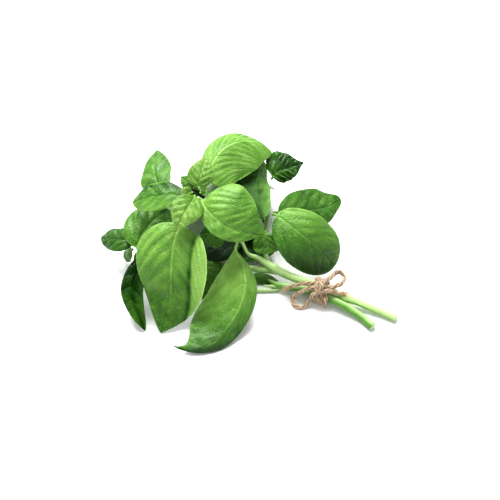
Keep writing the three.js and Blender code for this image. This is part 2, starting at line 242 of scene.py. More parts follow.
class Term:
    """A socket in a material's node tree, on which arithmetic adds Math nodes."""

    def __init__(self, nodes: "Nodes", socket: bpy.types.NodeSocket) -> None:
        """Wraps one output socket."""
        self.nodes = nodes
        self.socket = socket

    def maths(self, operation: str, *values: "Term | float") -> "Term":
        """A Math node of that operation on the values."""
        return self.nodes.add("ShaderNodeMath", {"operation": operation}, dict(enumerate(values)))

    __add__, __radd__ = operator("ADD"), operator("ADD", reflected=True)
    __sub__, __rsub__ = operator("SUBTRACT"), operator("SUBTRACT", reflected=True)
    __mul__, __rmul__ = operator("MULTIPLY"), operator("MULTIPLY", reflected=True)
    __pow__ = operator("POWER")

    def size(self) -> "Term":
        """This without its sign."""
        return self.maths("ABSOLUTE", self)

    def part(self) -> "Term":
        """What is left of this after its whole turns."""
        return self.maths("FRACT", self)

    def held(self) -> "Term":
        """This, kept between 0 and 1."""
        return self.nodes.add("ShaderNodeClamp", {}, {"Value": self})

    def rising(self, low: float, high: float) -> "Term":
        """A smooth step of this from 0 at `low` to 1 at `high`."""
        inputs = {"Value": self, "From Min": low, "From Max": high}
        return self.nodes.add("ShaderNodeMapRange", {"interpolation_type": "SMOOTHSTEP"}, inputs)


class Nodes:
    """Adds nodes to one new material."""

    def __init__(self, name: str) -> None:
        """Starts an empty material of that name."""
        self.material = bpy.data.materials.new(name)
        self.material.use_nodes = True
        self.tree = self.material.node_tree
        self.tree.nodes.clear()

    def add(self, kind: str, settings: dict, inputs: dict, output: int | str = 0) -> Term:
        """Adds one node.

        Args:
            kind: The node's type.
            settings: Its properties, which are set before its sockets are used.
            inputs: A value, a colour or a Term for each socket, by name or number.
            output: The output socket to return, by name or number.

        Returns:
            That output.
        """
        node = self.tree.nodes.new(kind)
        for title, value in settings.items():
            setattr(node, title, value)
        for key, value in inputs.items():
            socket = node.inputs[key]
            if isinstance(value, Term):
                self.tree.links.new(value.socket, socket)
            elif isinstance(value, tuple) and len(value) == 3 and socket.type == "RGBA":
                socket.default_value = (*value, 1.0)
            else:
                socket.default_value = value
        return Term(self, node.outputs[output])

    def blend(self, first: Term | Colour, second: Term | Colour, factor: Term | float) -> Term:
        """A colour that goes from the first to the second as the factor goes from 0 to 1."""
        return self.add("ShaderNodeMix", {"data_type": "RGBA"}, {0: factor, 6: first, 7: second}, 2)

    def uv(self, title: str) -> Term:
        """A UV map as a vector."""
        return self.add("ShaderNodeUVMap", {"uv_map": title}, {})

    def split(self, vector: Term) -> tuple[Term, Term]:
        """The first two numbers of a vector."""
        first = self.add("ShaderNodeSeparateXYZ", {}, {0: vector}, 0)
        return first, Term(self, first.socket.node.outputs[1])

    def value(self, title: str) -> Term:
        """An attribute of the mesh as a number."""
        return self.add("ShaderNodeAttribute", {"attribute_name": title}, {}, "Fac")

    def place(self) -> Term:
        """Object coordinates, in metres."""
        return self.add("ShaderNodeTexCoord", {}, {}, "Object")

    def noise(self, where: Term, scale: float, detail: float = 3.0, roughness: float = 0.5) -> Term:
        """Noise from 0 to 1 of that scale."""
        inputs = {"Vector": where, "Scale": scale, "Detail": detail, "Roughness": roughness}
        return self.add("ShaderNodeTexNoise", {}, inputs, "Fac")

    def green(self, level: Term, red: float, blue: float) -> Term:
        """Leaf green: its green is the level, its red goes as level^1.5 and its blue level^2."""
        inputs = {"Red": level**1.5 * red, "Green": level, "Blue": level**2.0 * blue}
        return self.add("ShaderNodeCombineColor", {}, inputs)

    def bump(self, height: Term, depth: float) -> Term:
        """A normal from a height from 0 to 1, whose full depth is in metres."""
        return self.add("ShaderNodeBump", {}, {"Height": height, "Distance": depth, "Strength": 1.0})

    def body(self, colour: Term, roughness: Term | float, specular: float, **more: Term | float) -> Term:
        """A Principled shader. Names in `more` stand for its sockets, with _ for a space."""
        inputs = {"Base Color": colour, "Roughness": roughness, "Specular IOR Level": specular}
        inputs.update({name.replace("_", " "): value for name, value in more.items()})
        return self.add("ShaderNodeBsdfPrincipled", {}, inputs)

    def glowing(self, body: Term, share: float, inputs: dict) -> bpy.types.Material:
        """Finishes the body with a share of light that comes through it, from a Translucent shader."""
        through = self.add("ShaderNodeBsdfTranslucent", {}, inputs)
        return self.finish(self.add("ShaderNodeMixShader", {}, {0: share, 1: body, 2: through}))

    def finish(self, shader: Term) -> bpy.types.Material:
        """Joins the shader to an output node, and returns the material."""
        node = self.tree.nodes.new("ShaderNodeOutputMaterial")
        self.tree.links.new(shader.socket, node.inputs["Surface"])
        return self.material


# ---------------------------------------------------------------- finishes


@dataclass(frozen=True)
class LeafFinish:
    """Living leaf: a waxy, faintly quilted upper side and a paler, duller lower side.

    A leaf's green is one number, its level, because its red and blue fall away faster than its
    green as it darkens.
    """

    name: str
    slot: str
    low: float  # level where the blade's tone is 0
    high: float  # level where it is 1
    red: float = 0.8
    roughness: float = 0.42
    cells: float = 5.0  # of the fine net of veins, in each centimetre
    relief: float = 0.00035  # depth of the fine quilting, metres

    def material(self) -> bpy.types.Material:
        """The leaf's material.

        The map "veins" holds the running number of side veins and the part of the half width, so
        a side vein lies where the first is whole, and the midrib where the second is 0. The map
        "flat" is the blade laid flat, in centimetres, and carries the fine net between them.
        The attributes "tone" and "under" say how light the blade is, with its painted light and shade, and which
        side is which.
        """
        nodes = Nodes(self.name)
        veins = nodes.uv("veins")
        number, across = nodes.split(veins)
        flat = nodes.uv("flat")
        under = nodes.value("under")
        part = across.size()
        shift = nodes.add("ShaderNodeTexNoise", {}, {"Vector": flat, "Scale": 1.3, "Detail": 2.0}, "Color")
        warped = nodes.add("ShaderNodeVectorMath", {"operation": "ADD"}, {0: flat, 1: shift})
        net = nodes.add("ShaderNodeTexVoronoi", {"feature": "DISTANCE_TO_EDGE"},
                        {"Vector": warped, "Scale": self.cells}, "Distance")
        line = 1 - net.rising(0.0, 0.09)
        pillow = net.rising(0.0, 0.35)
        streak = nodes.noise(veins, 1.7, 3.0, 0.6)
        cloud = nodes.noise(flat, 0.9, 3.0, 0.6)
        fine = nodes.noise(flat, 14.0, 3.0, 0.6)
        away = ((number + (cloud - 0.5) * 0.25 + 0.5).part() - 0.5).size()
        branch = (1 - away.rising(0.01, 0.055)) * (1 - part.rising(0.5, 1.0))
        rib = 1 - part.rising(0.01, 0.045)
        lines = (branch * (cloud * 0.9) + rib * 0.9 + line * 0.1).held()
        # painted shade: darker along the side veins and the midrib, where the blade sinks into grooves
        vein_groove_shade = (1 - away.rising(0.02, 0.2)) * (1 - part.rising(0.75, 1.0))
        vein_groove_shade = vein_groove_shade + (1 - part.rising(0.02, 0.14)) * 0.8
        tone = (nodes.value("tone") + (cloud - 0.5) * 0.75 + (streak - 0.5) * 0.45 + (fine - 0.5) * 0.15
                + (pillow - 0.6) * 0.12 - vein_groove_shade * 0.06).held()
        # painted highlight: the blade is lighter along its rim
        rim = part.rising(0.94, 0.99)
        level = tone * (self.high - self.low) + self.low
        upper = nodes.green(level * (lines * 0.55 + rim * 0.35 + 1), self.red, 0.45)
        lower = nodes.green(level * (lines * 0.3 + 0.8) + 0.02, self.red * 1.15, 0.8)
        colour = nodes.blend(upper, lower, under)
        height = pillow * 0.55 + fine * 0.25 + (1 - branch) * 0.45 + (1 - rib) * 0.3
        normal = nodes.bump(height, self.relief)
        rough = (cloud - 0.5) * 0.2 + self.roughness + under * 0.2
        coat = (1 - under) * 0.15
        body = nodes.body(colour, rough, 0.3, Normal=normal, Coat_Roughness=0.3, Coat_Weight=coat)
        glow = nodes.blend(colour, (0.2, 0.45, 0.01), 0.3)
        return nodes.glowing(body, 0.14, {"Color": glow, "Normal": normal})


class Green(Enum):
    """The greens of the leaves: young ones at the tip, light and mid ones, dark ones that are partly painted
    shade for leaves lying in the shade of others, and a near-black painted shade for the leaves deep inside the
    bunch.
    """

    YOUNG = LeafFinish("young_leaf", "young_leaf", 0.06, 0.48, red=0.85, roughness=0.44, cells=9.0,
                       relief=0.0006)
    LIGHT = LeafFinish("light_leaf", "leaf", 0.055, 0.46)
    MID = LeafFinish("mid_leaf", "leaf", 0.055, 0.36)
    # partly painted shade, for leaves that lie in the shade of others
    DARK = LeafFinish("dark_leaf", "leaf", 0.035, 0.3, roughness=0.38)
    # painted shade: a near-black green for leaves deep inside the bunch, where there is only shade
    PAINTED_SHADE = LeafFinish("painted_shade_leaf", "leaf", 0.008, 0.06, roughness=0.8)


@dataclass(frozen=True)
class StemFinish:
    """Tender green stem: ribbed along, shiny, with painted shade on its lower, front side, and pale inside where
    it is cut.
    """

    name: str = "stem_skin"
    light: Colour = (0.52, 0.73, 0.30)
    dark: Colour = (0.075, 0.24, 0.02)
    pith: Colour = (0.62, 0.76, 0.40)
    bark: Colour = (0.09, 0.075, 0.03)

    def material(self) -> bpy.types.Material:
        """The stem's material.

        The map "along" is the length along the stem and the turn round it, both in centimetres.
        "tone" says how light the skin is, with painted shade on its lower, front side, "cut" is 1 on a cut end,
        and "scar" is 1 on a scar.
        """
        nodes = Nodes(self.name)
        along = nodes.uv("along")
        strands = nodes.add("ShaderNodeMapping", {}, {"Vector": along, "Scale": (1.2, 26.0, 1.0)})
        fibre = nodes.noise(strands, 1.0, 4.0, 0.6)
        cloud = nodes.noise(nodes.place(), 120.0, 3.0, 0.6)
        speck = nodes.noise(nodes.place(), 1400.0, 2.0, 0.5)
        tone = (nodes.value("tone") + (fibre - 0.5) * 0.7 + (cloud - 0.5) * 0.5).held()
        skin = nodes.blend(self.dark, self.light, tone)
        wood = nodes.blend(self.pith, self.dark, (speck - 0.3).held())
        colour = nodes.blend(nodes.blend(skin, wood, nodes.value("cut")), self.bark, nodes.value("scar"))
        height = fibre * 0.7 + speck * 0.3
        coat = (1 - nodes.value("cut")) * 0.15
        body = nodes.body(colour, (fibre - 0.5) * 0.2 + 0.42, 0.5, Normal=nodes.bump(height, 0.0002),
                          Coat_Roughness=0.3, Coat_Weight=coat)
        return nodes.glowing(body, 0.12, {"Color": nodes.blend(colour, (0.6, 0.85, 0.15), 0.3)})


@dataclass(frozen=True)
class JuteFinish:
    """Jute: dull tan fibres that run slantwise in each strand, with painted shade between the strands."""

    name: str
    light: Colour = (0.68, 0.53, 0.36)
    dark: Colour = (0.12, 0.07, 0.03)
    # painted shade in the grooves between the strands
    groove: Colour = (0.05, 0.028, 0.013)

    def material(self) -> bpy.types.Material:
        """The twine's material, from the map "lay": turns round a strand, and its length in centimetres."""
        nodes = Nodes(self.name)
        lay = nodes.uv("lay")
        round_, length = nodes.split(lay)
        slant = nodes.add("ShaderNodeCombineXYZ", {}, {0: round_ * 14 + length * 3.5, 1: length * 1.6})
        fibre = nodes.noise(slant, 1.0, 4.0, 0.65)
        hair = nodes.noise(slant, 3.2, 3.0, 0.7)
        patch = nodes.noise(nodes.place(), 260.0, 3.0, 0.6)
        tone = ((fibre - 0.5) * 2.2 + (hair - 0.5) * 1.2 + (patch - 0.5) * 1.6 + 0.5).held()
        colour = nodes.blend(self.dark, self.light, tone)
        # painted shade in the grooves between the strands
        colour = nodes.blend(colour, self.groove, nodes.value("groove") * 0.8)
        normal = nodes.bump(fibre * 0.6 + hair * 0.4, 0.0005)
        return nodes.finish(nodes.body(colour, 0.88, 0.25, Sheen_Weight=0.25, Sheen_Roughness=0.5, Normal=normal))


@dataclass(frozen=True)
class FibreFinish:
    """A single loose jute fibre, paler than the strand that it left."""

    name: str = "jute_fibre"
    colour: Colour = (0.58, 0.42, 0.28)

    def material(self) -> bpy.types.Material:
        """The fibre's material."""
        nodes = Nodes(self.name)
        patch = nodes.noise(nodes.place(), 420.0, 2.0)
        colour = nodes.blend(self.colour, (0.30, 0.19, 0.10), (patch - 0.2).held())
        return nodes.finish(nodes.body(colour, 0.8, 0.3))


@dataclass(frozen=True)
class FloorFinish:
    """A plain, pale, matt surface."""

    name: str = "pale_floor"
    colour: Colour = (0.93, 0.93, 0.93)

    def material(self) -> bpy.types.Material:
        """The floor's material."""
        nodes = Nodes(self.name)
        cloud = nodes.noise(nodes.place(), 3.0, 2.0)
        colour = nodes.blend(self.colour, (0.95, 0.95, 0.95), cloud)
        return nodes.finish(nodes.body(colour, 0.9, 0.1))


# ---------------------------------------------------------------- leaves


@dataclass(frozen=True)
class Half:
    """How one half of a blade is bent, in degrees: lifted, curled down and turned up at its rim."""

    fold: float = 0
    cup: float = 20
    lip: float = 0
    size: float = 1  # its width, as a part of the blade's half width
    crease: float = 0.65  # where the rim turns up, as a part of the half width


@dataclass(frozen=True)
class Leaf:
    """One leaf: a stalk that flattens into a blade with a midrib and curved side veins."""

    path: Points
    stalk: float
    width: float
    green: Green
    face: tuple[float, float, float] = (0.3, -0.5, 0.8)
    widest: float = 0.4
    rise: float = 0.62
    narrow: float = 0.0  # how much its tip is drawn out to a point
    left: Half = Half()
    right: Half = Half()
    tone: tuple[float, float] = (0.75, 0.45)  # at the base and at the tip; partly the leaf's own green and partly painted light and shade
    painted_light_lean: float = 0.0  # how much lighter the left half is than the right: painted light on the half that faces the lamp
    pairs: float = 6.0  # pairs of side veins
    puff: float = 0.45  # how far the blade stands up between its veins, mm
    wave: float = 0.8  # how far its rim waves, mm
    waves: float = 2.3
    teeth: float = 0.010  # depth of the notches in its rim, as a part of the half width
    sweep: float = 1.0  # how far its side veins run on towards the tip

    THICK = 0.17  # half of a blade's thickness, mm
    STALK = 0.9  # radius of a stalk, mm
    EASE = 0.6  # how far the rings turn from square to the midrib
    STALK_RINGS = 10
    PITCH = 0.75  # between two rings or two lines of points, mm
    SLANT = 0.42  # of a side vein where it leaves the midrib
    CURVE = 0.55  # how much more it slants at the rim
    FURROW = 0.22  # depth of the blade over a side vein, mm
    FURROW_HALF = 0.55  # half of that furrow's width, mm
    GROOVE = 0.30  # depth of the upper side over the midrib, mm
    RIB = 0.75  # how far the midrib stands out below, as a part of its own width
    STEEP = 64  # lip of the most turned-up rim, degrees
    RESTING = (0.35, 0.9)  # least height of the middle of a blade and of a stalk, mm

    def outline(self, blade: np.ndarray) -> np.ndarray:
        """Width along the blade.

        It is t^rise (1-t)^fall over its own highest value, which is at `widest`, and `narrow`
        takes a part of it away towards the tip.
        """
        fall = self.rise * (1 - self.widest) / self.widest
        highest = self.widest**self.rise * (1 - self.widest) ** fall
        drawn = 1 - self.narrow * smooth(blade, 0.68, 0.92)
        return blade**self.rise * (1 - blade) ** fall / highest * drawn

    def bent(self, reach: np.ndarray, half: Half) -> tuple[np.ndarray, np.ndarray]:
        """Where points go when a half is bent.

        The blade's slope is fold - cup p + lip step(p) at the part p of the half width, and a
        point's place is the running sum of that slope's cosine and sine.

        Args:
            reach: Distances from the midrib along the blade.
            half: How the half is bent.

        Returns:
            Distances sideways and upwards from the midrib.
        """
        part = np.linspace(0, 1.4, 240)
        turned = half.fold - half.cup * part
        turned = turned + half.lip * smooth(part, half.crease - 0.1, half.crease + 0.1)
        angle = np.radians(turned)
        step = part[1] * self.width / 2
        table = np.concatenate([[0.0], np.cumsum(np.exp(1j * angle))[:-1]]) * step
        place = reach / (self.width / 2)
        return np.interp(place, part, table.real), np.interp(place, part, table.imag)

    def build(self, name: str, seed: int, material: bpy.types.Material) -> bpy.types.Object:
        """Makes the leaf's mesh.

        Rings run from the stem to the tip, and each goes from the left rim over the upper side to
        the right rim and back below. A side vein leaves the midrib at a slant and curves towards
        the tip, so its running number is (distance along - slant y - curve y^2) over the spacing.

        Args:
            name: The piece's name.
            seed: Sets this leaf's own waves.
            material: What it is made of.

        Returns:
            The new object.
        """
        half_width = self.width / 2
        path = SmoothPath(self.path)
        length = path.length - self.stalk
        count = int(np.clip(length / self.PITCH, 36, 150))
        across_steps = int(np.clip(half_width / self.PITCH, 12, 44))
        turn = (np.arange(count) + 0.15) / (count - 0.85)
        even = 0.5 - 0.5 * np.cos(math.pi * turn)
        blade = 0.998 * (0.5 * even + 0.5 * turn)
        stalk = np.linspace(0, self.stalk, self.STALK_RINGS, endpoint=False)
        blade = np.concatenate([np.zeros(self.STALK_RINGS), blade])[:, None]
        distance = np.concatenate([stalk, self.stalk + length * blade[self.STALK_RINGS:, 0]])

        origin, along = path.at(distance), path.along(distance)
        leaned = (1 - self.EASE) * along + self.EASE * path.chord()
        side = unit(np.cross(leaned, np.array(self.face)))
        up = unit(np.cross(side, along))

        line = np.linspace(-1, 1, 2 * across_steps + 1)
        line = line - 0.6 * np.sin(TAU * line) / TAU
        across = np.concatenate([line, line[-2:0:-1]])[None, :]
        upper = np.concatenate([np.ones(line.size), -np.ones(line.size - 2)])[None, :]
        on_left = across < 0

        stalky = 1 - smooth(blade, 0, 0.14)
        spread = np.where(blade > 0, half_width * self.outline(np.clip(blade, 1e-6, 1)), 0)
        size = np.where(on_left, self.left.size, self.right.size)
        reach = np.abs(across) * np.maximum(spread * size, self.STALK * stalky)

        spacing = length / self.pairs
        lane = (distance[:, None] - self.stalk) / spacing
        slant = self.sweep * (self.SLANT * reach + self.CURVE * reach**2 / half_width) / spacing
        number = lane - slant + 0.14 * np.tanh(across * 12) + 0.4
        notch = 1 - self.teeth * (0.5 + 0.5 * np.cos(TAU * 2 * number)) * np.abs(across) ** 6
        reach = reach * np.where(blade > 0.05, notch, 1)

        left_x, left_y = self.bent(reach, self.left)
        right_x, right_y = self.bent(reach, self.right)
        sideways = np.where(on_left, -left_x, right_x)
        lifted = np.where(on_left, left_y, right_y)

        wide = np.clip(spread / half_width, 0, 1)
        height = lifted + self.relief(blade, across, number, wide, spacing, seed) * (1 - stalky)
        points = origin[:, None] + side[:, None] * sideways[..., None] + up[:, None] * height[..., None]
        points[..., 2] = np.maximum(points[..., 2], np.where(blade > 0.2, *self.RESTING))
        shell = self.shell(blade, across, upper, reach, spread)
        points = points + up[:, None] * (shell * upper)[..., None]
        points[..., 2] = np.maximum(points[..., 2], CLEAR)

        maps = {
            "veins": np.stack([number, np.broadcast_to(across, number.shape) * (1 - stalky)], -1),
            "flat": np.stack(np.broadcast_arrays(distance[:, None] / 10 + seed, across * spread / 10), -1),
        }
        values = {"tone": self.tones(blade, across, reach / half_width, wide),
                  "under": np.broadcast_to(upper < 0, number.shape).astype(float)}
        return grid_piece(name, points, material, maps, values)

    def relief(
        self,
        blade: np.ndarray,
        across: np.ndarray,
        number: np.ndarray,
        wide: np.ndarray,
        spacing: float,
        seed: int,
    ) -> np.ndarray:
        """How far the blade's middle stands above its two bent halves.

        It swells between two side veins as a raised cosine of their running number, sinks along
        each of them as a bell curve, waves at its rim, and rolls slowly along its length.

        Args:
            blade: Parts of the blade's length.
            across: Parts of its width, from -1 on the left to 1 on the right.
            number: The running number of side veins.
            wide: The blade's width, as a part of its greatest one.
            spacing: The distance between two side veins, mm.
            seed: Sets this leaf's own waves.

        Returns:
            Heights, mm.
        """
        random = np.random.default_rng(seed)
        inner = smooth(np.abs(across), 0.02, 0.22) * (1 - smooth(np.abs(across), 0.72, 1.0)) * wide
        pucker = np.sin(across * 9 + number * 4 + random.uniform(0, 6))
        swell = 0.5 - 0.5 * np.cos(TAU * number) + 0.35 * pucker
        vein = (np.mod(number + 0.5, 1) - 0.5) * spacing
        phase = random.uniform(0, TAU, 4)
        ripple = np.sin(TAU * self.waves * blade + np.where(across < 0, phase[0], phase[1]))
        return (self.puff * swell * inner - self.FURROW * np.exp(-((vein / self.FURROW_HALF) ** 2)) * inner
                + self.wave * ripple * wide * np.abs(across) ** 2.2
                + 0.5 * wide * np.sin(5 * blade + 2.2 * across + phase[2]))

    def shell(
        self, blade: np.ndarray, across: np.ndarray, upper: np.ndarray, reach: np.ndarray, spread: np.ndarray
    ) -> np.ndarray:
        """How far the skin is from the leaf's middle.

        The round stalk flattens into the thin blade, which has a groove over its midrib and a
        tapering rib below it.

        Args:
            blade: Parts of the blade's length.
            across: Parts of its width, from -1 on the left to 1 on the right.
            upper: 1 on the upper side and -1 on the lower.
            reach: Distances from the midrib, mm.
            spread: Half the blade's width, mm.

        Returns:
            Distances, mm.
        """
        flattened = smooth(blade, 0, 0.05)
        rib = (1.05 - 0.85 * blade) * self.STALK
        middle = np.exp(-((reach / (0.9 * rib)) ** 2))
        flat = self.THICK * np.sqrt(np.clip(1 - across**8, 0, 1)) * np.clip(spread / 2, 0, 1)
        circle = self.STALK * np.sqrt(np.clip(1 - across**2, 0, 1))
        flat = flat + np.where(upper > 0, -self.GROOVE, self.RIB * rib) * middle
        return flattened * flat + (1 - flattened) * circle

    def tones(self, blade: np.ndarray, across: np.ndarray, part: np.ndarray, wide: np.ndarray) -> np.ndarray:
        """How light the blade is.

        It runs from one tone to the other along the blade and leans to one half, both partly painted light
        and shade, and has a painted highlight past the crease of a turned-up rim, with a painted shadow
        line in the crease itself.

        Args:
            blade: Parts of the blade's length.
            across: Parts of its width, from -1 on the left to 1 on the right.
            part: Distances from the midrib, as parts of the half width.
            wide: The blade's width, as a part of its greatest one.

        Returns:
            The tone of each point.
        """
        # painted light and shade: lighter or darker along the blade and on one half, as light falls on it
        tone = self.tone[0] + (self.tone[1] - self.tone[0]) * smooth(blade, 0.05, 0.95) - self.painted_light_lean * across
        for half, mine in ((self.left, across < 0), (self.right, across >= 0)):
            place = part - half.crease
            # painted highlight past the crease of a turned-up rim, and painted shadow in the crease
            rim_highlight_and_crease_shade = smooth(place, -0.02, 0.1) - 0.9 * np.exp(-((place / 0.07) ** 2))
            tone = tone + np.where(mine, 0.6 * half.lip / self.STEEP * rim_highlight_and_crease_shade * wide, 0)
        return tone


